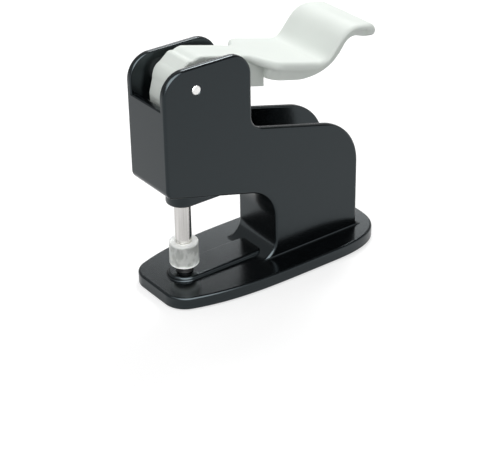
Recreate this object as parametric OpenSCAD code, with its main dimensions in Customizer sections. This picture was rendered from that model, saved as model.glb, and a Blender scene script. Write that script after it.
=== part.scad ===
// Table-top hand press for snap buttons.
// Origin on the plunger axis at the bench, +X to the rear, +Y to the far side, +Z up.
// Drawn closed: the lever is down and the plunger is at the bottom of its stroke.
// Heights in the head are measured from the underside of the head at the plunger axis,
// so that a taller throat lifts the guide, the pivot and the lever together.

/* [Base] */
// Distance from the plunger axis to the front edge of the base
base_front = 20.5; // [19.5:0.5:23]
// Distance from the plunger axis to the rear end of the base
base_rear = 120.5; // [117:0.5:128]
// Width of the base at its widest
base_width = 63.6; // [60:0.2:70]
// Height of the top face of the base above the bench
base_top = 7.5; // [7:0.1:9]
// Radius of the front corners of the base
base_corner = 13.5; // [12:0.5:15]
// How much narrower each side of the base is near its front
base_taper = 6.7; // [4:0.1:8]
// Distance behind the plunger axis where the sides reach full width
base_full_x = 62; // [58:1:66]
// Distance behind the plunger axis where the rounded rear end begins
base_round_x = 76; // [72:1:80]
// Squareness of the rear end, 2 is an ellipse
base_squareness = 2.9; // [2.5:0.1:3.5]
// Width of the raised panel that carries the lower die
panel_width = 19.4; // [18.6:0.2:22]
// Height of the raised panel above the base
panel_height = 2.3; // [1.8:0.1:3]

/* [Base pad] */
// Thickness of the non-slip pad under the base
pad_thickness = 1.6; // [1.4:0.1:2]
// How far the pad stands out below the casting
pad_proud = 0.6; // [0.4:0.1:0.8]
// Distance from the outline of the base to the pad
pad_margin = 3; // [2.5:0.5:5]

/* [Body] */
// Width over the outer faces of the two cheeks
body_width = 34.2; // [33.4:0.2:37]
// Thickness of the cheeks and of the web between them
wall = 4; // [3.6:0.1:4.4]
// Distance from the plunger axis to the front face of the head
head_front = 20; // [19.5:0.5:22]
// Distance from the plunger axis to the rear edge of the head
head_rear = 34.3; // [33.3:0.5:36]
// Height of the top of the head above its underside
head_top = 73.8; // [72:0.1:77]
// Radius of the two top corners of the head
head_corner = 13; // [10:0.5:14]
// Radius of the lower front corner of the head
chin_radius = 5; // [4:0.5:6]
// Height of the top edge of the front wall above the underside of the head
front_wall_top = 53.9; // [51:0.1:56]
// Distance from the plunger axis to the front face of the column
column_front = 49.4; // [47:0.5:52]
// Distance from the plunger axis to the rear edge of the column
column_rear = 107; // [104:0.5:110]
// Height of the underside of the head above the bench, at the plunger axis
throat_height = 61.1; // [56:0.1:70]
// Slope of the underside of the head, in degrees
throat_slope = 15; // [14:0.5:16]
// Radius where the underside of the head turns down into the column
throat_radius = 21.4; // [18:0.2:23]
// Height above the underside of the head at which the shoulder would meet the rear edge of the head
shoulder_height = 29.65; // [25:0.05:33]
// Slope of the shoulder, in degrees
shoulder_slope = 14.4; // [12:0.2:16]
// Radius between the head and the shoulder
nape_radius = 9; // [7:0.5:11]
// Radius between the shoulder and the rear edge of the column
shoulder_radius = 30; // [25:0.5:34]
// Radius of the flare at the front foot of the column
front_flare = 10.5; // [8:0.5:12]
// Radius of the flare at the rear foot of the column
rear_flare = 3.5; // [2:0.5:5]

/* [Guide] */
// Distance from the underside of the head down to the lower face of the guide boss
boss_bottom = 8.8; // [7.6:0.1:10.6]
// Height of the upper face of the guide boss above the underside of the head
boss_top = 8.9; // [7.9:0.1:9.9]
// Width of the guide boss
boss_width = 17.6; // [17:0.2:19]
// Outer diameter of the guide bushes
guide_bush_d = 12; // [11.6:0.2:12.6]
// Length of each guide bush
guide_bush_l = 7.6; // [6.5:0.1:8]

/* [Plunger] */
// Diameter of the plunger rod
rod_d = 9; // [8.6:0.1:9.2]
// Height of the lower end of the rod when closed
rod_bottom = 19; // [18.6:0.2:20]
// Height of the centre of the domed upper end above the underside of the head when closed
dome_height = 30.6; // [30.1:0.1:31.1]
// Rise of the plunger from closed to open
stroke = 12; // [11:0.5:12]
// Swing of the lever from closed to open, in degrees
swing = 60; // [58:1:64]

/* [Return spring] */
// Diameter of the spring wire
wire_d = 1.2; // [1:0.1:1.3]
// Mean diameter of the coils
coil_d = 13.2; // [12.4:0.2:13.6]
// Number of turns with the two closed end turns
coil_turns = 8; // [7:1:8]
// Thickness of the washer under the spring
seat_thickness = 1; // [0.8:0.1:1.2]
// Height of the lower face of the spring cap above the washer when closed
cap_height = 14; // [13.5:0.1:14.2]
// Thickness of the spring cap
cap_thickness = 2.5; // [2:0.1:2.6]
// Diameter of the spring cap and of the washer
cap_d = 16.6; // [16:0.2:17]
// Thickness of the clip above the cap
clip_thickness = 0.8; // [0.6:0.1:0.9]

/* [Upper die] */
// Diameter of the frosted sleeve at its lower end
sleeve_bottom_d = 16.3; // [16:0.1:17.5]
// Diameter of the frosted sleeve at its upper end
sleeve_top_d = 14.9; // [14.4:0.1:15.5]
// Height of the lower end of the sleeve when closed
sleeve_bottom = 14.1; // [13.7:0.1:14.5]
// Height of the upper end of the sleeve when closed
sleeve_top = 28.1; // [27.5:0.1:31]
// Diameter of the press die inside the sleeve
upper_die_d = 12; // [11.4:0.2:12.6]
// Diameter of its shank
shank_d = 4; // [3.6:0.2:4.2]
// Length of its shank
shank_length = 9; // [8.5:0.5:11]

/* [Lower die] */
// Diameter of the lower die
lower_die_d = 16.4; // [15.6:0.2:17]
// Height of the lower die above the panel
lower_die_height = 2.8; // [2.4:0.1:3]
// Diameter of its spigot in the base
spigot_d = 8; // [7.6:0.2:8.6]
// Length of its spigot
spigot_length = 4; // [3.6:0.1:4.2]
// Diameter of the hollow that holds a snap cap
cup_d = 12.6; // [12:0.2:13]

/* [Pivot] */
// Height of the pivot pin above the underside of the head
pivot_height = 61.4; // [60.4:0.1:62.4]
// Diameter of the pivot pin
pin_d = 5.2; // [5:0.1:5.6]
// Outer diameter of the lever bushes
lever_bush_d = 8.4; // [8:0.2:9]
// Length of each lever bush
lever_bush_l = 8; // [7:0.5:8.5]
// Outer diameter of the hub spacers
spacer_d = 13; // [12:0.5:15]

/* [Lever] */
// Width of the hub and of the arm
arm_width = 19; // [18:0.2:20]
// Radius of the hub around the pin
hub_radius = 9.6; // [9:0.2:9.8]
// Height of the top line of the arm above the pivot axis, measured at the axis
arm_rise = 15.56; // [15:0.02:16]
// Slope of the top line of the arm, in degrees
arm_slope = 14.7; // [14:0.1:15.4]
// Height of the lower line of the arm below the pivot axis, measured at the axis
arm_drop = 1.6; // [1.2:0.1:2]
// Distance behind the pivot where the deep part of the arm ends
arm_end = 48; // [45:0.5:49]
// Width of the paddle
paddle_width = 44.6; // [42:0.2:48]
// Distance behind the pivot where the arm begins to widen into the paddle
paddle_start = 36; // [35.4:0.2:37]
// Distance behind the pivot where the paddle reaches full width
paddle_full_x = 45; // [43.5:0.5:46.5]
// Radius of the corners where the arm widens
paddle_corner = 6; // [4:0.5:6.5]
// Thickness of the paddle shell
shell = 3; // [2.6:0.1:3.2]

/* [Bumper] */
// Thickness of the rubber stop under the closed lever
bumper_thickness = 3; // [2.5:0.1:4]
// Width of the rubber stop
bumper_width = 16; // [12:0.5:20]

/* [Fits] */
// Radial clearance of the sliding and turning fits
running_fit = 0.03; // [0.02:0.01:0.06]
// Clearance of screws and loose rings
loose_fit = 0.1; // [0.05:0.01:0.15]
// Distance kept between the cam and the dome of the plunger
cam_gap = 0.3; // [0.25:0.05:0.35]
// Side play of the lever between its spacers
side_play = 0.1; // [0.05:0.01:0.2]

/* [Hidden] */
$fn = 96;

arc_step = 9;        // degrees of arc between the points of a rounded corner
beyond = 5;          // how far a cutting shape runs past what it cuts
gap_half = body_width / 2 - wall;
panel_top = base_top + panel_height;
under_base = pad_proud;
rod_r = rod_d / 2;
pin_r = pin_d / 2;
head_top_z = throat_height + head_top;
wall_top_z = throat_height + front_wall_top;
boss_low_z = throat_height - boss_bottom;
boss_high_z = throat_height + boss_top;
pivot_z = throat_height + pivot_height;
dome_z = throat_height + dome_height;
seat_z = boss_high_z + seat_thickness;
cap_z = seat_z + cap_height;
clip_z = cap_z + cap_thickness;

// ---- Outlines -------------------------------------------------------------

function flat(p) = [p.x, p.y];
function unit(v) = v / norm(v);
function left(v) = [-v.y, v.x];
function turn(u, v) = atan2(u.x * v.y - u.y * v.x, u * v);
function mirrored(points) = [for (i = [len(points) - 1 : -1 : 0]) [points[i].x, -points[i].y]];

// Where the line through p at slope angle a stands at x
function height_on(p, a, x) = p.y + (x - p.x) * tan(a);

// Where two lines, each given by a point and a slope angle, cross
function crossing(p, a, q, b) =
    let (x = (q.y - p.y + p.x * tan(a) - q.x * tan(b)) / (tan(a) - tan(b)))
    [x, height_on(p, a, x)];

function arc_points(centre, r, start, sweep) =
    let (steps = max(2, round(abs(sweep) / arc_step)))
    [for (i = [0 : steps]) centre + r * [cos(start + sweep * i / steps), sin(start + sweep * i / steps)]];

// A corner [x, y, radius] between its two neighbours, as the points of its arc
function corner(before, p, after) =
    let (u = unit(flat(p) - flat(before)),
         v = unit(flat(after) - flat(p)),
         sweep = turn(u, v),
         side = sweep > 0 ? 1 : -1,
         reach = p[2] * tan(abs(sweep) / 2),
         centre = flat(p) - reach * u + side * p[2] * left(u))
    p[2] > 0 ? arc_points(centre, p[2], atan2(-side * u.x, side * u.y), sweep) : [flat(p)];

function rounded(c) =
    [for (i = [0 : len(c) - 1]) each corner(c[(i + len(c) - 1) % len(c)], c[i], c[(i + 1) % len(c)])];

// The corners of an open path moved to its left by d, with concentric radii
function shifted(c, d) =
    [for (i = [0 : len(c) - 1])
        let (v = unit(i < len(c) - 1 ? flat(c[i + 1]) - flat(c[i]) : flat(c[i]) - flat(c[i - 1])),
             u = i > 0 ? unit(flat(c[i]) - flat(c[i - 1])) : v,
             p = flat(c[i]) + d * (left(u) + left(v)) / (1 + u * v))
        [p.x, p.y, c[i][2] > 0 ? c[i][2] - sign(turn(u, v)) * d : 0]];

// A plate with an outline in X and Z, from y_low to y_high
module side_plate(points, y_low, y_high) {
    translate([0, y_high, 0]) rotate([90, 0, 0]) linear_extrude(y_high - y_low) polygon(points);
}

// A ring or tube standing on height z
module ring(z, height, outer_r, inner_r) {
    translate([0, 0, z]) difference() {
        cylinder(h = height, r = outer_r);
        translate([0, 0, -beyond]) cylinder(h = height + 2 * beyond, r = inner_r);
    }
}

// A tube along Y around the pivot axis
module pivot_tube(y_low, y_high, outer_r, inner_r) {
    translate([0, y_high, pivot_z]) rotate([90, 0, 0]) ring(0, y_high - y_low, outer_r, inner_r);
}

// ---- Frame ----------------------------------------------------------------

base_half = base_width / 2;
taper_power = 3.2;
taper_run = base_full_x + base_front - base_corner;
function base_half_at(x) =
    base_half - base_taper * pow(max(0, base_full_x - x) / taper_run, taper_power);

// Far half of the base outline from front to rear, drawn inward by margin
function base_side(margin) =
    let (corner_x = base_corner - base_front,
         lean = atan(base_taper * taper_power / taper_run),
         join_x = corner_x - base_corner * sin(lean),
         corner_y = base_half_at(join_x) - base_corner * cos(lean),
         steps = 8,
         round_l = base_rear - base_round_x - margin,
         round_w = base_half - margin)
    concat(
        arc_points([corner_x, corner_y], base_corner - margin, 180, lean - 90),
        [for (i = [1 : steps])
            let (x = join_x + (base_full_x - join_x) * i / steps) [x, base_half_at(x) - margin]],
        [for (a = [arc_step : arc_step : 89])
            [base_round_x + round_l * pow(sin(a), 2 / base_squareness),
             round_w * pow(cos(a), 2 / base_squareness)]]);

function base_outline(margin) =
    concat(base_side(margin), [[base_rear - margin, 0]], mirrored(base_side(margin)));

panel_end = column_front + 3;
module panel() {
    translate([0, 0, base_top - wall / 2]) linear_extrude(panel_height + wall / 2) union() {
        circle(d = panel_width);
        polygon([[0, panel_width / 2], [column_front - front_flare, panel_width / 2],
                 [panel_end, 0],
                 [column_front - front_flare, -panel_width / 2], [0, -panel_width / 2]]);
    }
}

throat_point = [0, throat_height];
shoulder_point = [head_rear, throat_height + shoulder_height];
foot_z = base_top - wall / 2;

// Front, throat and column front, from the top of the head down to the base
web_path = [
    [-head_front, head_top_z, 0],
    [-head_front, height_on(throat_point, -throat_slope, -head_front), chin_radius],
    [column_front, height_on(throat_point, -throat_slope, column_front), throat_radius],
    [column_front, base_top, 0]];

body_corners = [
    [-head_front, head_top_z, head_corner],
    web_path[1],
    web_path[2],
    [column_front, base_top, front_flare],
    [column_front - front_flare - 1, base_top, 0],
    [column_front - front_flare - 1, foot_z, 0],
    [column_rear + rear_flare + 1, foot_z, 0],
    [column_rear + rear_flare + 1, base_top, 0],
    [column_rear, base_top, rear_flare],
    [column_rear, height_on(shoulder_point, -shoulder_slope, column_rear), shoulder_radius],
    concat(shoulder_point, nape_radius),
    [head_rear, head_top_z, head_corner]];

// The space between the cheeks, open at the top and at the rear
inner_web = shifted(web_path, wall);
hollow_corners = concat(
    [[inner_web[0].x, head_top_z + beyond, 0]],
    [for (i = [1 : 3]) inner_web[i]],
    [[column_rear + beyond, base_top, 0], [column_rear + beyond, head_top_z + beyond, 0]]);

module body() {
    difference() {
        side_plate(rounded(body_corners), -body_width / 2, body_width / 2);
        side_plate(rounded(hollow_corners), -gap_half, gap_half);
        translate([-head_front - beyond, -gap_half, wall_top_z])
            cube([head_front + beyond, 2 * gap_half, head_top_z]);
    }
}

// The boss runs back along the underside of the head until the slope reaches it
boss_end = (throat_height - boss_low_z) / tan(throat_slope);
module boss() {
    intersection() {
        translate([0, 0, boss_low_z]) linear_extrude(boss_high_z) union() {
            circle(d = boss_width);
            translate([0, -boss_width / 2]) square([boss_end, boss_width]);
        }
        side_plate([[-boss_width, boss_low_z],
                    [boss_end, boss_low_z],
                    [boss_end, boss_low_z + wall / 2],
                    [-boss_width, height_on(throat_point, -throat_slope, -boss_width) + wall / 2]],
                   -boss_width, boss_width);
    }
    translate([0, 0, boss_low_z]) cylinder(h = boss_high_z - boss_low_z, d = boss_width);
}

// The crossbar between the cheeks at the rear of the head carries the rubber stop
function under_lever(x) = pivot_z - arm_drop - x * tan(arm_slope);
bumper_gap = 0.3;
bar_top = under_lever(head_rear - wall / 2) - 2 * bumper_gap - bumper_thickness;
bar_depth = 12;
module crossbar() {
    translate([head_rear - wall, -gap_half, bar_top - bar_depth]) cube([wall, 2 * gap_half, bar_depth]);
}

screw_head_r = 2.9;
screw_shank_r = 1.5;
screw_head_z = under_base + 1.4;
screw_head_h = 1.8;
spigot_z = panel_top - spigot_length;
module die_seat_cut() {
    translate([0, 0, spigot_z]) cylinder(h = spigot_length + beyond, d = spigot_d + 2 * loose_fit);
    translate([0, 0, -beyond]) cylinder(h = spigot_z + 2 * beyond, r = screw_shank_r + 2 * loose_fit);
    translate([0, 0, -beyond])
        cylinder(h = beyond + screw_head_z + screw_head_h + loose_fit, r = screw_head_r + loose_fit);
}

bush_land = rod_r + 0.4;
module guide_cut() {
    guide_r = guide_bush_d / 2;
    translate([0, 0, boss_low_z - beyond]) cylinder(h = guide_bush_l + beyond, r = guide_r);
    translate([0, 0, boss_low_z]) cylinder(h = boss_high_z - boss_low_z + beyond, r = bush_land);
    translate([0, 0, boss_high_z - guide_bush_l]) cylinder(h = guide_bush_l + beyond, r = guide_r);
}

module frame() {
    color("#26282b") difference() {
        union() {
            translate([0, 0, under_base]) linear_extrude(base_top - under_base)
                polygon(base_outline(0));
            panel();
            body();
            boss();
            crossbar();
        }
        translate([0, 0, under_base - beyond]) linear_extrude(beyond + pad_thickness - pad_proud)
            polygon(base_outline(pad_margin));
        die_seat_cut();
        guide_cut();
        translate([0, body_width, pivot_z]) rotate([90, 0, 0]) cylinder(h = 2 * body_width, r = pin_r);
    }
}

pad_play = 0.2;
module base_pad() {
    color("#3a3a3a") linear_extrude(pad_thickness) polygon(base_outline(pad_margin + pad_play));
}

// ---- Guide and pivot ------------------------------------------------------

module lower_bush() {
    color("#a8793e") ring(boss_low_z, guide_bush_l, guide_bush_d / 2, rod_r + running_fit);
}

module upper_bush() {
    color("#a8793e") ring(boss_high_z - guide_bush_l, guide_bush_l, guide_bush_d / 2, rod_r + running_fit);
}

module spring_seat() {
    color("silver") ring(boss_high_z, seat_thickness, cap_d / 2, rod_r + 0.5);
}

module pivot_pin() {
    color("#d8dadc") translate([0, body_width / 2, pivot_z]) rotate([90, 0, 0])
        cylinder(h = body_width, r = pin_r);
}

spacer_inner = arm_width / 2 + side_play;
module near_spacer() {
    color("#e4e2da") pivot_tube(-gap_half, -spacer_inner, spacer_d / 2, pin_r + loose_fit);
}

module far_spacer() {
    color("#e4e2da") pivot_tube(spacer_inner, gap_half, spacer_d / 2, pin_r + loose_fit);
}

// The top of the stop lies parallel to the underside of the lever, a hair below it
bumper_inset = 0.2;
module lever_bumper() {
    front = head_rear - wall + bumper_inset;
    rear = head_rear - bumper_inset;
    color("#202020") side_plate([[front, bar_top], [rear, bar_top],
                                 [rear, under_lever(rear) - bumper_gap],
                                 [front, under_lever(front) - bumper_gap]],
                                -bumper_width / 2, bumper_width / 2);
}

// ---- Lower die ------------------------------------------------------------

cup_depth = 1.2;
edge_round = 0.8;
module lower_die() {
    r = lower_die_d / 2;
    color("#1c1d1f") difference() {
        union() {
            translate([0, 0, panel_top]) rotate_extrude() polygon(concat(
                [[0, 0], [r, 0]],
                arc_points([r - edge_round, lower_die_height - edge_round], edge_round, 0, 90),
                [[0, lower_die_height]]));
            translate([0, 0, spigot_z]) cylinder(h = spigot_length + edge_round, d = spigot_d);
        }
        translate([0, 0, panel_top + lower_die_height - cup_depth]) cylinder(h = beyond, d = cup_d);
        translate([0, 0, spigot_z - beyond]) cylinder(h = spigot_length - 1 + beyond, r = screw_shank_r);
    }
}

module lower_die_screw() {
    hex_r = 1.1;
    color("silver") difference() {
        union() {
            translate([0, 0, screw_head_z]) cylinder(h = screw_head_h, r = screw_head_r);
            translate([0, 0, screw_head_z]) cylinder(h = spigot_z + 2 - screw_head_z, r = screw_shank_r);
        }
        translate([0, 0, screw_head_z - beyond]) cylinder(h = beyond + 1.2, r = hex_r, $fn = 6);
    }
}

// ---- Plunger --------------------------------------------------------------

ring_z = sleeve_top - 3.4;      // height of the O-ring
ring_wire_r = 0.8;
ring_path_r = rod_r + 0.3;
lock_z = rod_bottom + 3.2;
lock_r = 1.25;
clip_groove = 0.75;

module plunger() {
    color("#d0d3d6") difference() {
        union() {
            translate([0, 0, rod_bottom]) cylinder(h = dome_z - rod_bottom, r = rod_r);
            translate([0, 0, dome_z]) sphere(r = rod_r);
        }
        translate([0, 0, rod_bottom - beyond]) cylinder(h = shank_length + beyond, d = shank_d + 2 * running_fit);
        ring(ring_z - ring_wire_r - 0.1, 2 * ring_wire_r + 0.2, rod_d, ring_path_r - ring_wire_r - 0.05);
        ring(clip_z - 0.05, clip_thickness + 0.1, rod_d, rod_r - clip_groove);
        translate([0, 0, lock_z]) rotate([0, 90, 0]) cylinder(h = rod_d, r = lock_r);
    }
}

// The press die has a hollow face with a small centre point that spreads the snap's pin
module upper_die() {
    r = upper_die_d / 2;
    face = sleeve_bottom + 0.1;
    hollow_r = 4.5;
    hollow_depth = 1.5;
    color("#e9e9e4") difference() {
        union() {
            translate([0, 0, face]) cylinder(h = rod_bottom - face, r = r);
            translate([0, 0, rod_bottom]) cylinder(h = shank_length - 0.5, d = shank_d);
            translate([0, 0, face]) cylinder(h = hollow_depth, r = 1);
        }
        difference() {
            translate([0, 0, face - beyond]) cylinder(h = hollow_depth + beyond, r = hollow_r);
            translate([0, 0, face]) cylinder(h = hollow_depth, r = 1);
        }
    }
}

module die_lock_screw() {
    inner = shank_d / 2 + 0.05;
    color("#55575a") difference() {
        translate([inner, 0, lock_z]) rotate([0, 90, 0]) cylinder(h = rod_r - inner - 0.2, r = lock_r);
        translate([rod_r - 1.2, 0, lock_z]) rotate([0, 90, 0]) cylinder(h = beyond, r = 0.65, $fn = 6);
    }
}

module sleeve_ring() {
    color("#222222") translate([0, 0, ring_z]) rotate_extrude()
        translate([ring_path_r, 0]) circle(r = ring_wire_r, $fn = 32);
}

sleeve_round = 1.4;
module die_sleeve() {
    low_r = sleeve_bottom_d / 2;
    high_r = sleeve_top_d / 2;
    rim = 0.6;
    color("#dcdfdc") difference() {
        rotate_extrude() polygon(concat(
            [[0, sleeve_bottom]],
            arc_points([low_r - sleeve_round, sleeve_bottom + sleeve_round], sleeve_round, -90, 90),
            arc_points([high_r - rim, sleeve_top - rim], rim, 0, 90),
            [[0, sleeve_top]]));
        translate([0, 0, sleeve_bottom - beyond])
            cylinder(h = rod_bottom - sleeve_bottom + beyond, r = upper_die_d / 2 + running_fit);
        translate([0, 0, sleeve_bottom]) cylinder(h = sleeve_top, r = rod_r + running_fit);
        translate([0, 0, ring_z - ring_wire_r - 0.1])
            cylinder(h = 2 * ring_wire_r + 0.2, r = ring_path_r + ring_wire_r + 0.05);
    }
}

module spring_cap() {
    lip_h = 0.9;
    guide_r = coil_d / 2 - wire_d / 2 - 0.25;
    color("silver") {
        ring(cap_z, cap_thickness, cap_d / 2, rod_r + running_fit);
        ring(cap_z - lip_h, lip_h, guide_r, rod_r + running_fit);
    }
}

module spring_clip() {
    clip_r = rod_r + 1.9;
    color("#9a9ca0") difference() {
        ring(clip_z, clip_thickness, clip_r, rod_r - clip_groove + 0.05);
        translate([0, -2.6, clip_z - beyond]) cube([rod_d, 5.2, 2 * beyond]);
    }
}

// ---- Return spring --------------------------------------------------------

wire_sides = 8;
turn_steps = 20;
low_coil = seat_z + wire_d / 2 + 0.02;
high_coil = cap_z - wire_d / 2 - 0.02;
open_pitch = (high_coil - low_coil - 2 * wire_d) / (coil_turns - 2);

// Height of the wire after t turns: one closed turn, open turns, one closed turn
function coil_z(t) =
    t < 1 ? low_coil + wire_d * t :
    t < coil_turns - 1 ? low_coil + wire_d + open_pitch * (t - 1) :
    high_coil - wire_d * (coil_turns - t);

function wire_ring(t) =
    [for (j = [0 : wire_sides - 1])
        let (a = 360 * j / wire_sides, r = coil_d / 2 + wire_d / 2 * cos(a))
        [r * cos(360 * t), r * sin(360 * t), coil_z(t) + wire_d / 2 * sin(a)]];

module return_spring() {
    rings = coil_turns * turn_steps;
    points = [for (i = [0 : rings]) each wire_ring(i / turn_steps)];
    sides = [for (i = [0 : rings - 1], j = [0 : wire_sides - 1])
        let (a = i * wire_sides + j, b = i * wire_sides + (j + 1) % wire_sides)
        [b, a, a + wire_sides, b + wire_sides]];
    first = [for (j = [0 : wire_sides - 1]) j];
    last = [for (j = [wire_sides - 1 : -1 : 0]) rings * wire_sides + j];
    color("#b9bcc0") polyhedron(points, concat(sides, [first, last]));
}

// ---- Lever ----------------------------------------------------------------
// Outlines of the lever are drawn around the pivot axis.

// Closed, the dome lies straight below the pivot. Its distance from the pivot
// falls by the same amount for every degree of swing.
cam_reach = pivot_height - dome_height;
cam_rate = stroke / swing;
function dome_reach(a) = cam_reach - cam_rate * (270 - a);
function dome_centre(a) = dome_reach(a) * [cos(a), sin(a)];
function cam_point(a) =
    let (rate = cam_rate * 180 / PI,
         travel = [rate * cos(a) - dome_reach(a) * sin(a), rate * sin(a) + dome_reach(a) * cos(a)])
    dome_centre(a) + (rod_r + cam_gap) * left(unit(travel));

cam_step = 3;
cam_face = [for (a = [270 - swing : cam_step : 270 + 2 * cam_step]) cam_point(a)];
cam_flank = [-11.6, -7.1];
lobe_back = [9, -17];

arm_top = [0, arm_rise];
arm_bottom = [0, -arm_drop];
ramp_top = [1, 12.7];
notch = [3.6, 11.9];
brow = [7.6, height_on(arm_top, -arm_slope, 7.6)];

// The paddle grows out of the arm where its sides begin to spread
arm_half = arm_width / 2;
paddle_half = paddle_width / 2;
spread = atan2(paddle_half - arm_half, paddle_full_x - paddle_start);
seam_x = paddle_start - paddle_corner * tan(spread / 2);

hub_arc_start = 115;
core_outline = concat(
    [brow, notch, ramp_top],
    arc_points([0, 0], hub_radius, hub_arc_start, 180 - hub_arc_start),
    [cam_flank],
    cam_face,
    [lobe_back, [14, height_on(arm_bottom, -arm_slope, 14)],
     [arm_end, height_on(arm_bottom, -arm_slope, arm_end)],
     [arm_end, height_on(arm_top, -arm_slope, arm_end) - shell / 2],
     [seam_x, height_on(arm_top, -arm_slope, seam_x)]]);

// The paddle dips, climbs steeply and ends in a lip that leans down to the rear
climb_slope = 49.4;
climb = [85.8, 1.7];
lip_slope = -11.3;
lip = [102.5, 9.9];
lip_end = 114.4;
dip_radius = 8.5;
crest_radius = 15;
paddle_top = [
    [seam_x, height_on(arm_top, -arm_slope, seam_x), 0],
    concat(crossing(arm_top, -arm_slope, climb, climb_slope), dip_radius),
    concat(crossing(climb, climb_slope, lip, lip_slope), crest_radius),
    [lip_end, height_on(lip, lip_slope, lip_end), 0]];

// The lower edge of its skirt
skirt = [61.6, -10];
skirt_slope = -14;
skirt_climb = [91.1, 0.2];
skirt_climb_slope = 53.1;
lip_under = [103.4, 4.3];
lip_under_slope = -19.6;
bead = 2.6;
skirt_edge = [
    [lip_end, height_on(lip_under, lip_under_slope, lip_end), bead],
    concat(crossing(skirt_climb, skirt_climb_slope, lip_under, lip_under_slope), 8),
    concat(crossing(skirt, skirt_slope, skirt_climb, skirt_climb_slope), 28),
    [seam_x, height_on(skirt, skirt_slope, seam_x), 0]];

paddle_outline = rounded(concat(
    [for (i = [0 : 2]) paddle_top[i]],
    [[lip_end, paddle_top[3].y, bead]],
    skirt_edge));

// The hollow under the paddle follows its top at the thickness of the shell
paddle_depth = 30;   // more than the paddle reaches above or below the pivot
hollow_start = arm_end + shell;
hollow_end = lip_end - 8;
hollow_top = shifted(paddle_top, -shell);
paddle_hollow = rounded(concat(
    [[hollow_start, height_on(hollow_top[0], -arm_slope, hollow_start), 0]],
    [hollow_top[1], hollow_top[2]],
    [[hollow_end, height_on(hollow_top[3], lip_slope, hollow_end), 0]],
    [[hollow_end, -paddle_depth, 0], [hollow_start, -paddle_depth, 0]]));

spread_foot = [paddle_start, arm_half, paddle_corner];
spread_top = [paddle_full_x, paddle_half, paddle_corner];
lip_corner = [lip_end, paddle_half, 3];
paddle_side = concat(
    corner([seam_x, arm_half], spread_foot, spread_top),
    corner(spread_foot, spread_top, lip_corner),
    corner(spread_top, lip_corner, [lip_end, 0]));

module lever() {
    color("#e6e9e6") translate([0, 0, pivot_z]) difference() {
        union() {
            side_plate(core_outline, -arm_half, arm_half);
            difference() {
                intersection() {
                    side_plate(paddle_outline, -paddle_half, paddle_half);
                    translate([0, 0, -paddle_depth]) linear_extrude(2 * paddle_depth)
                        polygon(concat(paddle_side, mirrored(paddle_side)));
                }
                side_plate(paddle_hollow, shell - paddle_half, paddle_half - shell);
            }
        }
        translate([0, arm_width, 0]) rotate([90, 0, 0]) cylinder(h = 2 * arm_width, d = lever_bush_d);
    }
}

module near_bush() {
    color("#a8793e")
        pivot_tube(-arm_width / 2, lever_bush_l - arm_width / 2, lever_bush_d / 2, pin_r + running_fit);
}

module far_bush() {
    color("#a8793e")
        pivot_tube(arm_width / 2 - lever_bush_l, arm_width / 2, lever_bush_d / 2, pin_r + running_fit);
}

// ---- Nodes ----------------------------------------------------------------

frame();
base_pad();
lower_bush();
upper_bush();
spring_seat();
pivot_pin();
near_spacer();
far_spacer();
lever_bumper();
lower_die();
lower_die_screw();
plunger();
upper_die();
die_lock_screw();
sleeve_ring();
die_sleeve();
spring_cap();
spring_clip();
return_spring();
lever();
near_bush();
far_bush();
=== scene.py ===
# %% [markdown]
# # A table-top hand press for snap buttons
# The construction model already holds every size and joint of this press. This script
# gives it its looks: cast parts with rounded edges, enamel, ground steel and frosted
# plastic. Blender works in metres, and the sizes below are written in millimetres.

# %% Load the construction model
import bmesh
import bpy
import math
from mathutils import Matrix, Vector


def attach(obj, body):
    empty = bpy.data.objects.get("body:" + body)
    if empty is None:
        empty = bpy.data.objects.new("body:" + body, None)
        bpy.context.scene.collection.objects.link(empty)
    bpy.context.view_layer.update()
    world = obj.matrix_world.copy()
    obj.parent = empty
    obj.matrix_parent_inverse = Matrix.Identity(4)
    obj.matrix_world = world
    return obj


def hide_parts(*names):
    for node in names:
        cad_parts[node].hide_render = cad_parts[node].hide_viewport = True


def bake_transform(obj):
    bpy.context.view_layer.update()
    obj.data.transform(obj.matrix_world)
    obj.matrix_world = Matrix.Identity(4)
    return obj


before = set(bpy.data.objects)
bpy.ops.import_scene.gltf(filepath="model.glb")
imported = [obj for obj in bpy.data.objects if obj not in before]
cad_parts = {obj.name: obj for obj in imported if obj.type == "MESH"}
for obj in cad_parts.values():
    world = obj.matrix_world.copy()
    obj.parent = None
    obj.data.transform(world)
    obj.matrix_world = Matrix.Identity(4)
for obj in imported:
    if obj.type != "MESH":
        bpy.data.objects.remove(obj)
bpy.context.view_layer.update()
MM = 0.001

# %% [markdown]
# ## Camera
# The press is seen from its front near corner and from above. A camera is turned by
# giving its three axes as the columns of a matrix: right, up, and backwards, because a
# Blender camera looks along its own minus Z.

# %% Camera
HEADING = math.radians(53.626)
PITCH = math.radians(30.177)
ROLL = math.radians(-0.827)
CAMERA_PLACE = (-0.398623, -0.601349, 0.449936)
LENS, SENSOR, NEAREST = 111.985, 36, 0.05

ahead = Vector((math.cos(HEADING), math.sin(HEADING), 0))
level_right = Vector((math.sin(HEADING), -math.cos(HEADING), 0))
upwards = Vector((0, 0, 1))
forward = ahead * math.cos(PITCH) - upwards * math.sin(PITCH)
steep_up = ahead * math.sin(PITCH) + upwards * math.cos(PITCH)
right = level_right * math.cos(ROLL) + steep_up * math.sin(ROLL)
up = steep_up * math.cos(ROLL) - level_right * math.sin(ROLL)

camera = bpy.data.objects.new("camera", bpy.data.cameras.new("camera"))
bpy.context.scene.collection.objects.link(camera)
camera.data.sensor_width = SENSOR
camera.data.lens = LENS
camera.data.clip_start = NEAREST
axes = Matrix((right, up, -forward)).transposed().to_4x4()
camera.matrix_world = Matrix.Translation(CAMERA_PLACE) @ axes
bpy.context.scene.camera = camera
print("camera distance, mm:", round(camera.matrix_world.translation.length / MM))

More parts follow.
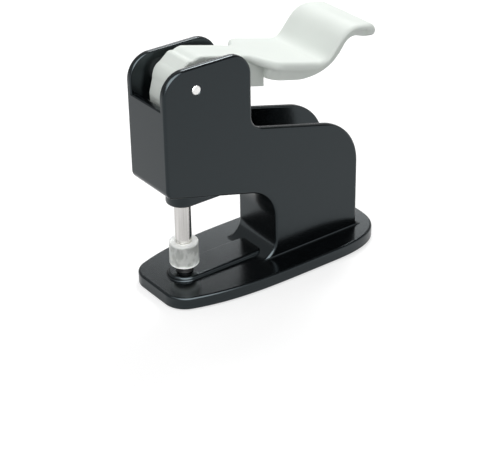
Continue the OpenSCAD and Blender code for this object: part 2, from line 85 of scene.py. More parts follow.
# %% [markdown]
# ## Arithmetic on shader sockets
# A material is a network of nodes. Wiring each sum by hand makes long code, so this
# small class wraps one output socket and lets Python's own operators add the Math nodes.

# %% A socket that can be calculated with
class Wire:
    """One output socket of a node, ready for arithmetic."""

    def __init__(self, tree, socket):
        self.tree, self.socket = tree, socket

    def node(self, kind, settings=None, inputs=None, output=0):
        """Adds any other node: its settings first, then the values or links of its inputs."""
        made = self.tree.nodes.new(kind)
        for name, value in (settings or {}).items():
            setattr(made, name, value)
        for name, value in (inputs or {}).items():
            if isinstance(value, Wire):
                self.tree.links.new(value.socket, made.inputs[name])
            else:
                made.inputs[name].default_value = value
        return Wire(self.tree, made.outputs[output])

    def math(self, operation, *values):
        return self.node("ShaderNodeMath", {"operation": operation}, dict(enumerate(values)))

    def __add__(self, other):
        return self.math("ADD", self, other)

    def __sub__(self, other):
        return self.math("SUBTRACT", self, other)

    def __rsub__(self, other):
        return self.math("SUBTRACT", other, self)

    def __mul__(self, other):
        return self.math("MULTIPLY", self, other)

    __radd__ = __add__
    __rmul__ = __mul__

    def between(self, low, high):
        """0 below low, 1 above high, and a smooth rise between."""
        return self.node("ShaderNodeMapRange", {"interpolation_type": "SMOOTHSTEP"},
                         {"Value": self, "From Min": low, "From Max": high})

    def colour(self, dark, light):
        """A colour that runs from dark to light as this value runs from 0 to 1."""
        dark, light = (end if isinstance(end, Wire) else (*end, 1) for end in (dark, light))
        return self.node("ShaderNodeMix", {"data_type": "RGBA"}, {0: self, 6: dark, 7: light}, output=2)


# %% [markdown]
# ## Finishes
# Every finish starts from the Principled shader, with the piece's own coordinates in
# millimetres. Noise at the real scale of each surface then varies its colour, its
# roughness and, through a Bump node, the way that it catches the light. Most finishes
# need just patches and a grain, so one function makes those.

# %% Start of a finish
def new_finish(name, **constants):
    material = bpy.data.materials.new(name)
    material.use_nodes = True
    tree = material.node_tree
    shader = tree.nodes["Principled BSDF"]
    for socket, value in constants.items():
        shader.inputs[socket.replace("_", " ")].default_value = value
    place = Wire(tree, tree.nodes.new("ShaderNodeTexCoord").outputs["Object"])
    millimetres = place.node("ShaderNodeVectorMath", {"operation": "SCALE"},
                             {0: place, "Scale": 1 / MM})
    return material, shader, millimetres


def speckle(place, size, detail=2.0, stretch=(1, 1, 1)):
    """Soft noise with patches of about the given size in millimetres."""
    spot = place.node("ShaderNodeMapping", {}, {"Vector": place, "Scale": stretch})
    return spot.node("ShaderNodeTexNoise", {}, {"Vector": spot, "Scale": 1 / size, "Detail": detail})


def feed(shader, **wires):
    for socket, wire in wires.items():
        wire.tree.links.new(wire.socket, shader.inputs[socket.replace("_", " ")])


def bumped(height, depth):
    """A normal that follows a height pattern of the given depth in millimetres."""
    return height.node("ShaderNodeBump", {}, {"Height": height, "Distance": depth * MM})


def mottled(name, dark, light, roughness, patch, grain, depth, detail=2.0, stretch=(1, 1, 1), **constants):
    """A finish with patches of colour and gloss, and a fine grain; sizes in millimetres."""
    material, shader, place = new_finish(name, **constants)
    patches = speckle(place, patch, stretch=stretch)
    feed(shader,
         Base_Color=patches.colour(dark, light),
         Roughness=roughness[0] + patches * roughness[1],
         Normal=bumped(speckle(place, grain, detail, stretch), depth))
    return material


# %% [markdown]
# The casting of the body is sprayed with black stove enamel. It dries with a faint
# orange peel, about a millimetre across, that softens every reflection. A cool tint on
# those reflections sets its colour.

# %% Black enamel
def black_enamel():
    material, shader, place = new_finish("black_enamel", IOR=1.55, Specular_Tint=(0.78, 0.93, 1.0, 1))
    peel = speckle(place, 0.9, detail=1.0)
    cloud = speckle(place, 14.0)
    feed(shader,
         Base_Color=cloud.colour((0.0006, 0.0008, 0.0010), (0.0014, 0.0018, 0.0022)),
         Roughness=0.15 + cloud * 0.06 + peel * 0.03,
         Normal=bumped(peel, 0.012))
    return material


BLACK_ENAMEL = black_enamel()
print("finish:", BLACK_ENAMEL.name)

# %% [markdown]
# The lever has a smooth light grey enamel over its casting. It is paler and a good deal
# duller than the black, with a slow change of tone from one thicker patch to the next.

# %% Grey enamel
GREY_ENAMEL = mottled("grey_enamel", (0.70, 0.745, 0.705), (0.745, 0.79, 0.75), (0.50, 0.08), 18.0, 1.1,
                      0.008, detail=1.0, IOR=1.5)
print("finish:", GREY_ENAMEL.name)

# %% [markdown]
# The plunger is bright bar, with faint lines along its length. Stretching the noise along
# one axis turns its spots into lines. The pivot pin is paler and duller.

# %% Bright steels
def ground_steel():
    material, shader, place = new_finish("ground_steel", Metallic=1.0)
    lines = speckle(place, 0.7, stretch=(1, 1, 0.02))
    cloud = speckle(place, 4.0, stretch=(1, 1, 0.15))
    streaks = (lines * 0.7 + cloud * 0.3).between(0.3, 0.7)
    feed(shader,
         Base_Color=streaks.colour((0.60, 0.585, 0.565), (0.78, 0.765, 0.75)),
         Roughness=0.13 + lines * 0.10 + cloud * 0.04,
         Normal=bumped(lines, 0.004))
    return material


GROUND_STEEL = ground_steel()
PIN_STEEL = mottled("pin_steel", (0.93, 0.93, 0.92), (0.99, 0.99, 0.98), (0.34, 0.14), 0.25, 0.25, 0.002,
                    stretch=(1, 0.02, 1), Metallic=1.0)
print("finishes:", GROUND_STEEL.name, PIN_STEEL.name)

# %% [markdown]
# The screws, the washer and the cap of the spring are zinc plated, which dries with soft
# grey clouds. The return spring and the spring clip are spring steel, darker and finer.

# %% Plated steel and spring wire
ZINC_PLATE = mottled("zinc_plate", (0.52, 0.53, 0.55), (0.68, 0.69, 0.70), (0.26, 0.16), 1.6, 0.2, 0.003,
                     Metallic=1.0)
SPRING_WIRE = mottled("spring_wire", (0.42, 0.43, 0.45), (0.58, 0.59, 0.60), (0.24, 0.14), 0.3, 0.3, 0.002,
                      Metallic=1.0)
print("finishes:", ZINC_PLATE.name, SPRING_WIRE.name)

# %% [markdown]
# The bushes are sintered bronze: pressed powder, so it is full of fine dark pores that
# hold oil.

# %% Bronze
def sintered_bronze():
    material, shader, place = new_finish("sintered_bronze", Metallic=1.0)
    pores = speckle(place, 0.12).between(0.42, 0.55)
    feed(shader,
         Base_Color=pores.colour((0.20, 0.12, 0.06), (0.58, 0.37, 0.19)),
         Roughness=0.55 - pores * 0.2,
         Normal=bumped(pores, 0.01))
    return material


BRONZE = sintered_bronze()
print("finish:", BRONZE.name)

# %% [markdown]
# The sleeve round the upper die is frosted plastic. Light partly goes through it and
# partly scatters inside, so it gets some transmission and subsurface. Its rims catch more
# light than its middle, and that is painted in: a lighter colour and a faint glow, masked by height.

# %% Frosted plastic
# Heights in millimetres over which the painted highlight of the low and the high rim fades.
LOW_RIM_PAINTED_LIGHT, HIGH_RIM_PAINTED_LIGHT = (14.4, 16.2), (26.2, 27.9)


def frosted_plastic():
    material, shader, place = new_finish(
        "frosted_plastic", IOR=1.5, Transmission_Weight=0.35, Subsurface_Weight=0.3,
        Subsurface_Scale=0.0015, Subsurface_Radius=(1.0, 1.0, 0.9), Emission_Strength=1.0)
    cloud = speckle(place, 3.0, stretch=(1, 1, 0.6))
    frost = speckle(place, 0.25)
    height = place.node("ShaderNodeSeparateXYZ", {}, {0: place}, output=2)
    # Painted highlight on the rims: a lighter colour and a faint glow, full at the low rim and half at the
    # high one.
    low_rim_painted_light = 1 - height.between(*LOW_RIM_PAINTED_LIGHT)
    high_rim_painted_light = height.between(*HIGH_RIM_PAINTED_LIGHT) * 0.5
    painted_rim_highlight = low_rim_painted_light.math("MAXIMUM", low_rim_painted_light, high_rim_painted_light)
    body = cloud.between(0.35, 0.65).colour((0.52, 0.54, 0.52), (0.84, 0.86, 0.84))
    feed(shader,
         Base_Color=painted_rim_highlight.colour(body, (0.95, 0.96, 0.95)),
         Emission_Color=painted_rim_highlight.colour((0.02, 0.02, 0.02), (0.42, 0.43, 0.42)),
         Roughness=0.30 + frost * 0.16,
         Normal=bumped(frost, 0.012))
    return material


FROSTED = frosted_plastic()
print("finish:", FROSTED.name)

# %% [markdown]
# The lower die is black nylon, the upper die and the spacers are white nylon, and the
# pad, the stop and the ring are rubber, the dullest and coarsest of them.

# %% Nylon and rubber
BLACK_NYLON = mottled("black_nylon", (0.0015, 0.0015, 0.0018), (0.004, 0.004, 0.0045), (0.34, 0.08), 3.0,
                      0.18, 0.004, IOR=1.5)
WHITE_NYLON = mottled("white_nylon", (0.72, 0.71, 0.67), (0.80, 0.79, 0.75), (0.40, 0.08), 3.0, 0.18, 0.004,
                      IOR=1.5)
RUBBER = mottled("rubber", (0.020, 0.020, 0.020), (0.035, 0.035, 0.034), (0.72, 0.08), 3.0, 0.18, 0.02,
                 IOR=1.5)
print("finishes in all:", len(bpy.data.materials))

# %% [markdown]
# ## Drawing outlines
# Most pieces of a casting are flat outlines with rounded corners, given a thickness. The
# pen below starts as one vertex. Extruding it draws a straight line, and spinning it
# round a centre draws an arc, so that each corner is a true circle.

# %% The pen
ARC_STEP = math.radians(6)


def line_to(bm, pen, place):
    made = bmesh.ops.extrude_vert_indiv(bm, verts=[pen])["verts"][0]
    made.co = place
    return made


def draw(bm, corners, closed=True):
    """Draws corners (x, y, radius) in the XY plane and returns the edges."""
    places = [Vector((c[0], c[1], 0)) for c in corners]
    before = set(bm.edges)
    first = pen = bm.verts.new(places[0]) if not closed else None
    last = len(corners) if closed else len(corners) - 1
    for i in range(0 if closed else 1, last):
        here, radius = places[i], corners[i][2] if len(corners[i]) > 2 else 0
        u = (here - places[i - 1]).normalized()
        v = (places[(i + 1) % len(places)] - here).normalized()
        turn = math.atan2(u.cross(v).z, u.dot(v))
        start = here - u * radius * math.tan(abs(turn) / 2)
        if pen is None:
            first = pen = bm.verts.new(start)
        elif (pen.co - start).length > 1e-5:
            pen = line_to(bm, pen, start)
        if radius > 0:
            side = math.copysign(1, turn)
            centre = start + side * radius * Vector((-u.y, u.x, 0))
            steps = max(2, round(abs(turn) / ARC_STEP))
            arc = bmesh.ops.spin(bm, geom=[pen], cent=centre, axis=(0, 0, 1), angle=turn,
                                 steps=steps, use_merge=False)
            pen = [g for g in arc["geom_last"] if isinstance(g, bmesh.types.BMVert)][0]
    if closed:
        bm.edges.new((pen, first))
    else:
        line_to(bm, pen, places[-1])
    return [e for e in bm.edges if e not in before]


def on_slope(x, slope, through):
    """Height at x of the line with that slope in degrees through a point."""
    return through[1] + (x - through[0]) * math.tan(math.radians(slope))


# %% [markdown]
# ## Building up a casting
# A casting is glued up from plates, as a foundry pattern is from shaped blocks. A plate
# is an outline, filled and extruded. Its edges are bevelled while it is still simple,
# because bevels work best on clean edges.

# %% Plates and rounded edges
def stand_up(bm):
    """Turns what lies in XY upright, into XZ."""
    bmesh.ops.rotate(bm, verts=bm.verts, cent=(0, 0, 0), matrix=Matrix.Rotation(math.pi / 2, 3, "X"))


def new_plate(corners, low, high, standing=False):
    """An outline with a thickness, flat in XY or standing in XZ."""
    bm = bmesh.new()
    edges = draw(bm, corners)
    face = bmesh.ops.contextual_create(bm, geom=edges)["faces"][0]
    face.normal_update()
    if face.normal.z > 0:
        face.normal_flip()
    raised = bmesh.ops.extrude_face_region(bm, geom=[face])["geom"]
    top = [g for g in raised if isinstance(g, bmesh.types.BMVert)]
    bottom = [v for v in bm.verts if v not in top]
    for verts, z in ((bottom, -high if standing else low), (top, -low if standing else high)):
        for v in verts:
            v.co.z = z
    if standing:
        stand_up(bm)
    bmesh.ops.recalc_face_normals(bm, faces=bm.faces)
    return bm


def round_edges(bm, chosen, radius, segments=5):
    """Rounds the edges for which chosen(edge) holds."""
    edges = [e for e in bm.edges if chosen(e)]
    bmesh.ops.bevel(bm, geom=edges, offset=radius, offset_type="OFFSET", affect="EDGES",
                    segments=segments, profile=0.5, material=-1, clamp_overlap=False)
    bmesh.ops.remove_doubles(bm, verts=bm.verts, dist=1e-4)
    return len(edges)


def rim_at(axis, level):
    """Chooses edges that lie in the plane where the axis has that level."""
    return lambda e: all(abs(v.co[axis] - level) < 1e-3 for v in e.verts)


def on_both_sides(half):
    return lambda e: rim_at(1, half)(e) or rim_at(1, -half)(e)


# %% [markdown]
# Plates are joined or cut with manifold booleans, which keep a closed shape closed.
# At the end a piece is scaled to metres, and weighted normals keep its flat faces flat.

# %% Booleans and the last touch
def new_object(name, bm):
    mesh = bpy.data.meshes.new(name)
    bm.to_mesh(mesh)
    bm.free()
    made = bpy.data.objects.new(name, mesh)
    bpy.context.scene.collection.objects.link(made)
    return made


def combine(body, name, bm, operation):
    """Joins or cuts an object with another shape, and keeps only the result."""
    other = new_object(name, bm)
    tool = body.modifiers.new("combine", "BOOLEAN")
    tool.operation, tool.object, tool.solver = operation, other, "MANIFOLD"
    bpy.context.view_layer.update()
    combined = body.evaluated_get(bpy.context.evaluated_depsgraph_get())
    result = bpy.data.meshes.new_from_object(combined)
    body.modifiers.clear()
    body.data = result
    bpy.data.objects.remove(other)


def finish_piece(piece, material, body, replaces, smooth_angle=32, weighted=True):
    """Scales a piece to metres, smooths its shading and gives it its finish and its body."""
    bm = bmesh.new()
    bm.from_mesh(piece.data)
    bmesh.ops.remove_doubles(bm, verts=bm.verts, dist=2e-4)
    bmesh.ops.dissolve_degenerate(bm, edges=bm.edges, dist=1e-4)
    bmesh.ops.scale(bm, vec=(MM, MM, MM), verts=bm.verts)
    open_edges = sum(1 for e in bm.edges if not e.is_manifold)
    bm.to_mesh(piece.data)
    bm.free()
    piece.data.materials.clear()
    piece.data.materials.append(material)
    for polygon in piece.data.polygons:
        polygon.use_smooth = True
    piece.data.set_sharp_from_angle(angle=math.radians(smooth_angle))
    if weighted:
        shading = piece.modifiers.new("weighted_normals", "WEIGHTED_NORMAL")
        shading.keep_sharp = True
    if body:
        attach(piece, body)
    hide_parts(*replaces)
    print(f"{piece.name}: {len(piece.data.polygons)} faces, {open_edges} open edges")


# %% [markdown]
# ## The body casting
# The body is one casting: a base, two cheeks joined by a web, and a boss that guides the
# plunger. It starts as a solid block with the press's side view, let a little into the
# base by a root. Its outer edges are rounded by 1.6 mm, and later the inner ones by 0.9.

# %% The block of the body
HALF_BODY, WALL = 17.1, 4.0
HEAD_FRONT, HEAD_REAR, HEAD_TOP = -20.0, 34.3, 134.9
COLUMN_FRONT, COLUMN_REAR = 49.4, 107.0
BASE_TOP, UNDERSIDE = 7.5, 0.6
THROAT, THROAT_SLOPE, THROAT_ROUND = (0, 61.1), -15, 21.4
SHOULDER, SHOULDER_SLOPE, SHOULDER_ROUND = (HEAD_REAR, 90.75), -14.4, 30
HEAD_ROUND, FRONT_FLARE, REAR_FLARE = 13, 10.5, 3.5
ROOT_FRONT, ROOT_REAR, ROOT, SUNK = 37.9, 111.5, 5.5, 0.05
OUTER_ROUND, RIM_ROUND = 1.6, 0.9

chin = (HEAD_FRONT, on_slope(HEAD_FRONT, THROAT_SLOPE, THROAT))
throat = (COLUMN_FRONT, on_slope(COLUMN_FRONT, THROAT_SLOPE, THROAT))
shoulder = (COLUMN_REAR, on_slope(COLUMN_REAR, SHOULDER_SLOPE, SHOULDER))
foot = BASE_TOP - SUNK
body_block = new_plate([
    (HEAD_FRONT, HEAD_TOP, HEAD_ROUND), (*chin, 5), (*throat, THROAT_ROUND),
    (COLUMN_FRONT, foot, FRONT_FLARE), (ROOT_FRONT, foot), (ROOT_FRONT, ROOT), (ROOT_REAR, ROOT),
    (ROOT_REAR, foot), (COLUMN_REAR, foot, REAR_FLARE), (*shoulder, SHOULDER_ROUND),
    (*SHOULDER, 9), (HEAD_REAR, HEAD_TOP, HEAD_ROUND)], -HALF_BODY, HALF_BODY, standing=True)
print("outer edges rounded:", round_edges(body_block, on_both_sides(HALF_BODY), OUTER_ROUND, 6))
casting = new_object("frame_casting", body_block)

# %% [markdown]
# The block is hollowed from above and from behind, which leaves the web: a strip of even
# thickness that runs down the front, along the underside of the head and down the column.
# A second cut lowers the front wall. Only the rim of the hollow is rounded, so the edges
# are chosen by their place and by being convex.

# %% Hollow of the body
GAP = HALF_BODY - WALL
WALL_TOP, ABOVE, BEHIND, HOLLOW_FOOT = 115.0, 145, 115, BASE_TOP - 0.3


def on_inner_web(x):
    return on_slope(x, THROAT_SLOPE, THROAT) + WALL / math.cos(math.radians(THROAT_SLOPE))


web_front, web_rear = HEAD_FRONT + WALL, COLUMN_FRONT + WALL
combine(casting, "hollow", new_plate([
    (web_front, ABOVE), (web_front, on_inner_web(web_front), 1),
    (web_rear, on_inner_web(web_rear), THROAT_ROUND + WALL), (web_rear, HOLLOW_FOOT),
    (BEHIND, HOLLOW_FOOT), (BEHIND, ABOVE)], -GAP, GAP, standing=True), "DIFFERENCE")
combine(casting, "mouth", new_plate([(-25, WALL_TOP), (-10, WALL_TOP), (-10, ABOVE), (-25, ABOVE)],
                                    -GAP, GAP, standing=True), "DIFFERENCE")


def on_rim(e):
    sharp = e.is_manifold and e.is_convex and e.calc_face_angle(0) > 0.9
    inner = on_both_sides(GAP)(e) or rim_at(2, WALL_TOP)(e)
    return sharp and inner and min(v.co.z for v in e.verts) > BASE_TOP


rim = bmesh.new()
rim.from_mesh(casting.data)
bmesh.ops.remove_doubles(rim, verts=rim.verts, dist=1e-3)
print("rim edges rounded:", round_edges(rim, on_rim, RIM_ROUND, 4))
rim.to_mesh(casting.data)
rim.free()

# %% [markdown]
# The base widens from its front corners towards the column and ends in a squarish round.
# Its outline is a curve, so it is drawn as short straight strokes.

# %% Base
HALF_BASE, BASE_FRONT, BASE_REAR = 31.8, -20.5, 120.5
FRONT_CORNER, TAPER, FULL_X, ROUND_X, SQUARENESS = 13.5, 6.7, 62.0, 76.0, 2.9
TAPER_RUN, TAPER_POWER, STROKES = FULL_X - BASE_FRONT - FRONT_CORNER, 3.2, 16


def half_base(x):
    return HALF_BASE - TAPER * (max(0, FULL_X - x) / TAPER_RUN) ** TAPER_POWER


def base_outline(margin):
    """Outline of the base, drawn inwards by margin: the far side, then the near side."""
    lean = math.atan(TAPER * TAPER_POWER / TAPER_RUN)
    corner_x, radius = BASE_FRONT + FRONT_CORNER, FRONT_CORNER - margin
    join = corner_x - FRONT_CORNER * math.sin(lean)
    corner_y = half_base(join) - FRONT_CORNER * math.cos(lean)
    far = []
    for i in range(STROKES + 1):
        a = math.pi - (math.pi / 2 - lean) * i / STROKES
        far.append((corner_x + radius * math.cos(a), corner_y + radius * math.sin(a)))
    for i in range(1, STROKES + 1):
        x = join + (FULL_X - join) * i / STROKES
        far.append((x, half_base(x) - margin))
    for a in map(math.radians, range(0, 90, 4)):
        far.append((ROUND_X + (BASE_REAR - ROUND_X - margin) * math.sin(a) ** (2 / SQUARENESS),
                    (HALF_BASE - margin) * math.cos(a) ** (2 / SQUARENESS)))
    return far + [(BASE_REAR - margin, 0)] + [(x, -y) for x, y in reversed(far)]


base_plate = new_plate(base_outline(0), UNDERSIDE, BASE_TOP)
round_edges(base_plate, rim_at(2, BASE_TOP), 1.3, 5)
round_edges(base_plate, rim_at(2, UNDERSIDE), 0.5, 3)
combine(casting, "base", base_plate, "UNION")

# %% [markdown]
# A raised panel carries the lower die. It rises from the base in a hollow foot and turns
# over in a round shoulder. It starts as a filled outline, and each inset of its top face,
# with a small lift, adds one band of that profile.

# %% Raised panel
PANEL_FOOT, PANEL_SHOULDER, PANEL_ROOT, PANEL_SUNK, PANEL_HALF = 0.9, 1.4, 2, 0.02, 10.3


def quarter_bands(radius):
    """How far along and how far across each band of a quarter round goes."""
    turns = [math.radians(d) for d in range(0, 91, 15)]
    return [(radius * (math.sin(b) - math.sin(a)), radius * (math.cos(a) - math.cos(b)))
            for a, b in zip(turns, turns[1:])]


panel_bands = quarter_bands(PANEL_FOOT)
panel_bands += [(inwards, rise) for rise, inwards in quarter_bands(PANEL_SHOULDER)]
panel = bmesh.new()
panel_edges = draw(panel, [
    (-PANEL_HALF, PANEL_HALF, PANEL_HALF), (-PANEL_HALF, -PANEL_HALF, PANEL_HALF), (45, -PANEL_HALF, 7),
    (51, -4, 3), (51, 4, 3), (45, PANEL_HALF, 7)])
bmesh.ops.translate(panel, verts=panel.verts, vec=(0, 0, BASE_TOP - PANEL_ROOT))
underside = bmesh.ops.contextual_create(panel, geom=panel_edges)["faces"]
raised = bmesh.ops.extrude_face_region(panel, geom=underside, use_keep_orig=True)["geom"]
lifted = [g for g in raised if isinstance(g, bmesh.types.BMFace)]
bmesh.ops.translate(panel, verts=lifted[0].verts, vec=(0, 0, PANEL_ROOT - PANEL_SUNK))
for inwards, rise in panel_bands:
    bmesh.ops.inset_region(panel, faces=lifted, thickness=inwards, use_even_offset=True)
    bmesh.ops.translate(panel, verts=lifted[0].verts, vec=(0, 0, rise))
bmesh.ops.recalc_face_normals(panel, faces=panel.faces)
print("panel top, mm:", round(max(v.co.z for v in panel.verts), 2))
combine(casting, "panel", panel, "UNION")

# %% [markdown]
# The boss hangs below the head and carries the two bushes of the plunger. Behind the
# round front its sides run back until the sloping web swallows them, so its block is cut
# off by a plane inside the web. Inside the head it goes on as a round post, which the
# return spring stands on.

# %% Boss
BOSS, BOSS_BOTTOM, BOSS_TOP = 8.8, 52.3, 70.0
BLOCK_TOP, POST_ROOT = 80, 3

slope = math.radians(THROAT_SLOPE)
boss_end = (BOSS_BOTTOM - THROAT[1]) / math.tan(slope)
boss_block = new_plate([(-BOSS, BOSS, BOSS), (-BOSS, -BOSS, BOSS), (boss_end, -BOSS), (boss_end, BOSS)],
                       BOSS_BOTTOM, BLOCK_TOP)
round_edges(boss_block, rim_at(2, BOSS_BOTTOM), 1.0, 4)
whole_block = boss_block.verts[:] + boss_block.edges[:] + boss_block.faces[:]
bmesh.ops.bisect_plane(boss_block, geom=whole_block, plane_co=(0, 0, THROAT[1] + WALL / 2),
                       plane_no=(-math.sin(slope), 0, math.cos(slope)), clear_outer=True)
bmesh.ops.holes_fill(boss_block, edges=[e for e in boss_block.edges if e.is_boundary])
bmesh.ops.recalc_face_normals(boss_block, faces=boss_block.faces)
combine(casting, "boss_block", boss_block, "UNION")
boss_top = new_plate([(-BOSS, BOSS, BOSS), (-BOSS, -BOSS, BOSS), (BOSS, -BOSS, BOSS), (BOSS, BOSS, BOSS)],
                     THROAT[1] - POST_ROOT, BOSS_TOP)
round_edges(boss_top, rim_at(2, BOSS_TOP), 0.5, 3)
combine(casting, "boss_top", boss_top, "UNION")

# %% [markdown]
# A crossbar ties the cheeks together at the rear of the head and carries the rubber stop
# of the lever. Its long edges are rounded, and its ends run into the cheeks.

# %% Crossbar
BAR_FRONT, BAR_REAR, BAR_TOP, BAR_BOTTOM, BAR_HALF = 30.3, 34.25, 108.83, 96.83, GAP + 0.4
crossbar = new_plate([(BAR_FRONT, BAR_BOTTOM), (BAR_REAR, BAR_BOTTOM), (BAR_REAR, BAR_TOP),
                      (BAR_FRONT, BAR_TOP)], -BAR_HALF, BAR_HALF, standing=True)
print("edges rounded:", round_edges(crossbar, lambda e: abs(e.verts[0].co.y - e.verts[1].co.y) > 1, 0.6, 3))
combine(casting, "crossbar", crossbar, "UNION")

# %% [markdown]
# Where the cheeks stand on the base, the casting has a small hollow fillet. It is lofted:
# one section is drawn, and its edges are extruded to each next section along the foot.

# %% Fillets along the foot
def loft(sections):
    """Joins sections of equal length into one closed skin."""
    bm = bmesh.new()
    ring = [bm.verts.new(p) for p in sections[0]]
    edges = [bm.edges.new((a, b)) for a, b in zip(ring, ring[1:] + ring[:1])]
    bmesh.ops.contextual_create(bm, geom=edges)
    for section in sections[1:]:
        made = bmesh.ops.extrude_edge_only(bm, edges=edges)["geom"]
        at = {tuple(v.co): v for v in made if isinstance(v, bmesh.types.BMVert)}
        new_ring = [at[tuple(v.co)] for v in ring]
        edges = [g for g in made if isinstance(g, bmesh.types.BMEdge)
                 and g.verts[0] in new_ring and g.verts[1] in new_ring]
        for v, p in zip(new_ring, section):
            v.co = p
        ring = new_ring
    bmesh.ops.contextual_create(bm, geom=edges)
    bmesh.ops.remove_doubles(bm, verts=bm.verts, dist=1e-4)
    bmesh.ops.recalc_face_normals(bm, faces=bm.faces)
    return bm


FILLET_ROOT, FILLET_SUNK = 0.6, 0.02
FILLET_STEPS = ((40.5, 0.1), (42, 0.3), (44, 0.7), (46.5, 1.1), (50, 1.2), (104, 1.2), (106.5, 1.0),
                (108.5, 0.5), (110, 0.12))


def fillet_section(x, side, r):
    """Section at x of a hollow fillet of radius r at the foot of a cheek."""
    y, z = HALF_BODY, BASE_TOP
    corner = [(y - FILLET_ROOT, z - FILLET_ROOT), (y - FILLET_ROOT, z + r), (y - FILLET_SUNK, z + r)]
    curve = [(y + r - r * math.cos(a) - FILLET_SUNK, z + r - r * math.sin(a) - FILLET_SUNK)
             for a in map(math.radians, range(15, 91, 15))]
    curve.append((y + r - FILLET_SUNK, z - FILLET_ROOT))
    return [Vector((x, side * py, pz)) for py, pz in corner + curve]


for side in (-1, 1):
    strip = loft([fillet_section(x, side, r) for x, r in FILLET_STEPS])
    combine(casting, "foot_fillet", strip, "UNION")
print("places along each fillet:", len(FILLET_STEPS))

# %% [markdown]
# The bores come last. Each cutter is a profile spun round its axis, stepped where the
# bore is stepped. Only the recess of the pad, cut with them, is a thin plate.

# %% Bores
PIVOT, PIN, PIN_FIT, COUNTERSINK, DIE_SEAT = 122.5, 2.6, 0.03, 0.32, 5.8
PAD_MARGIN, PAD_RECESS = 3, 1.6


def spun(profile, steps=96):
    """A solid of revolution about Z from a profile (radius, height, corner radius)."""
    bm = bmesh.new()
    edges = draw(bm, profile, closed=False)
    stand_up(bm)
    bmesh.ops.spin(bm, geom=bm.verts[:] + edges, cent=(0, 0, 0), axis=(0, 0, 1), angle=2 * math.pi,
                   steps=steps, use_merge=True)
    bmesh.ops.remove_doubles(bm, verts=bm.verts, dist=1e-4)
    bmesh.ops.recalc_face_normals(bm, faces=bm.faces)
    return bm


def lay_along_y(bm, height):
    """Turns a spun solid so that its axis lies along Y at that height."""
    stand_up(bm)
    bmesh.ops.translate(bm, verts=bm.verts, vec=(0, 0, height))
    return bm


pin_hole, pin_end = PIN + PIN_FIT, HALF_BODY - COUNTERSINK
cutters = {
    "guide_bore": spun([(0, 50), (6, 50), (6, 59.9), (4.9, 59.9), (4.9, 62.4), (6, 62.4), (6, 75), (0, 75)]),
    "die_bore": spun([(0, -2), (3.0, -2), (3.0, 3.9), (1.7, 3.9), (1.7, DIE_SEAT), (4.1, DIE_SEAT),
                      (4.1, 12), (0, 12)], 64),
    "pin_bore": lay_along_y(spun([(0, -20), (4.9, -20), (pin_hole, -pin_end), (pin_hole, pin_end),
                                  (4.9, 20), (0, 20)]), PIVOT),
    "pad_recess": new_plate(base_outline(PAD_MARGIN), -2, PAD_RECESS)}
for name, cutter in cutters.items():
    combine(casting, name, cutter, "DIFFERENCE")
finish_piece(casting, BLACK_ENAMEL, "press_frame", ["frame"])

# %% [markdown]
# ## The lever casting
# The lever is an arm that spreads into a curved paddle for the palm. From above it is
# symmetrical, and from the side its top dips, climbs and ends in a lip. That suits a
# loft: at each place along its length a section knows its width, top and lower edge.
# Heights on the lever are measured from its pivot.

# %% Reading heights from a line
def path(corners):
    """The points of an open outline with rounded corners, from first to last."""
    bm = bmesh.new()
    draw(bm, corners, closed=False)
    points = sorted((v.co.x, v.co.y) for v in bm.verts)
    bm.free()
    return points


def level(points, x):
    """Height of a path at x, and its slope there as rise over run."""
    for (xa, ya), (xb, yb) in zip(points, points[1:]):
        if x <= xb or (xb, yb) == points[-1]:
            rise = (yb - ya) / (xb - xa)
            return ya + (x - xa) * rise, rise


def crossing(p, slope_p, q, slope_q):
    """Where two sloping lines cross."""
    tp, tq = math.tan(math.radians(slope_p)), math.tan(math.radians(slope_q))
    x = (q[1] - p[1] + p[0] * tp - q[0] * tq) / (tp - tq)
    return x, on_slope(x, slope_p, p)


# %% [markdown]
# Four lines rule the lever: its top, the ceiling of the hollow under it, the lower edge of
# its skirt, and its half width. Each is made of straight stretches joined by rounds.

# %% Lines of the lever
ARM_SLOPE, CLIMB_SLOPE, LIP_SLOPE = -14.7, 49.4, -11.3
ARM_TOP, ARM_BOTTOM, CLIMB, LIP = (0, 15.7), (0, -1.6), (85.8, 1.7), (102.5, 9.9)
ARM_HALF, PADDLE_HALF, FLARE_START, FLARE_END = 9.5, 22.3, 39.6, 47.6
BROW, SEAM, ARM_END, LIP_END = 11.6, 32.9, 48.0, 114.4
DIP_RADIUS, CREST_RADIUS, SHELL = 8.5, 15.0, 3.0
SKIRT, SKIRT_SLOPE, SKIRT_RADIUS = (61.6, -10), -14, 28
SKIRT_CLIMB, SKIRT_CLIMB_SLOPE = (91.1, 0.2), 53.1
LIP_UNDER, LIP_UNDER_SLOPE, LIP_UNDER_RADIUS = (103.4, 4.3), -19.6, 8


def below(point, slope):
    """A point of the same line moved down by the thickness of the shell."""
    return point[0], point[1] - SHELL / math.cos(math.radians(slope))


def paddle_line(arm, climb, lip, dip_radius, crest_radius):
    """A line through a point of the arm, one of the climb and one of the lip."""
    return path([(BROW, on_slope(BROW, ARM_SLOPE, arm)),
                 (*crossing(arm, ARM_SLOPE, climb, CLIMB_SLOPE), dip_radius),
                 (*crossing(climb, CLIMB_SLOPE, lip, LIP_SLOPE), crest_radius),
                 (LIP_END, on_slope(LIP_END, LIP_SLOPE, lip))])


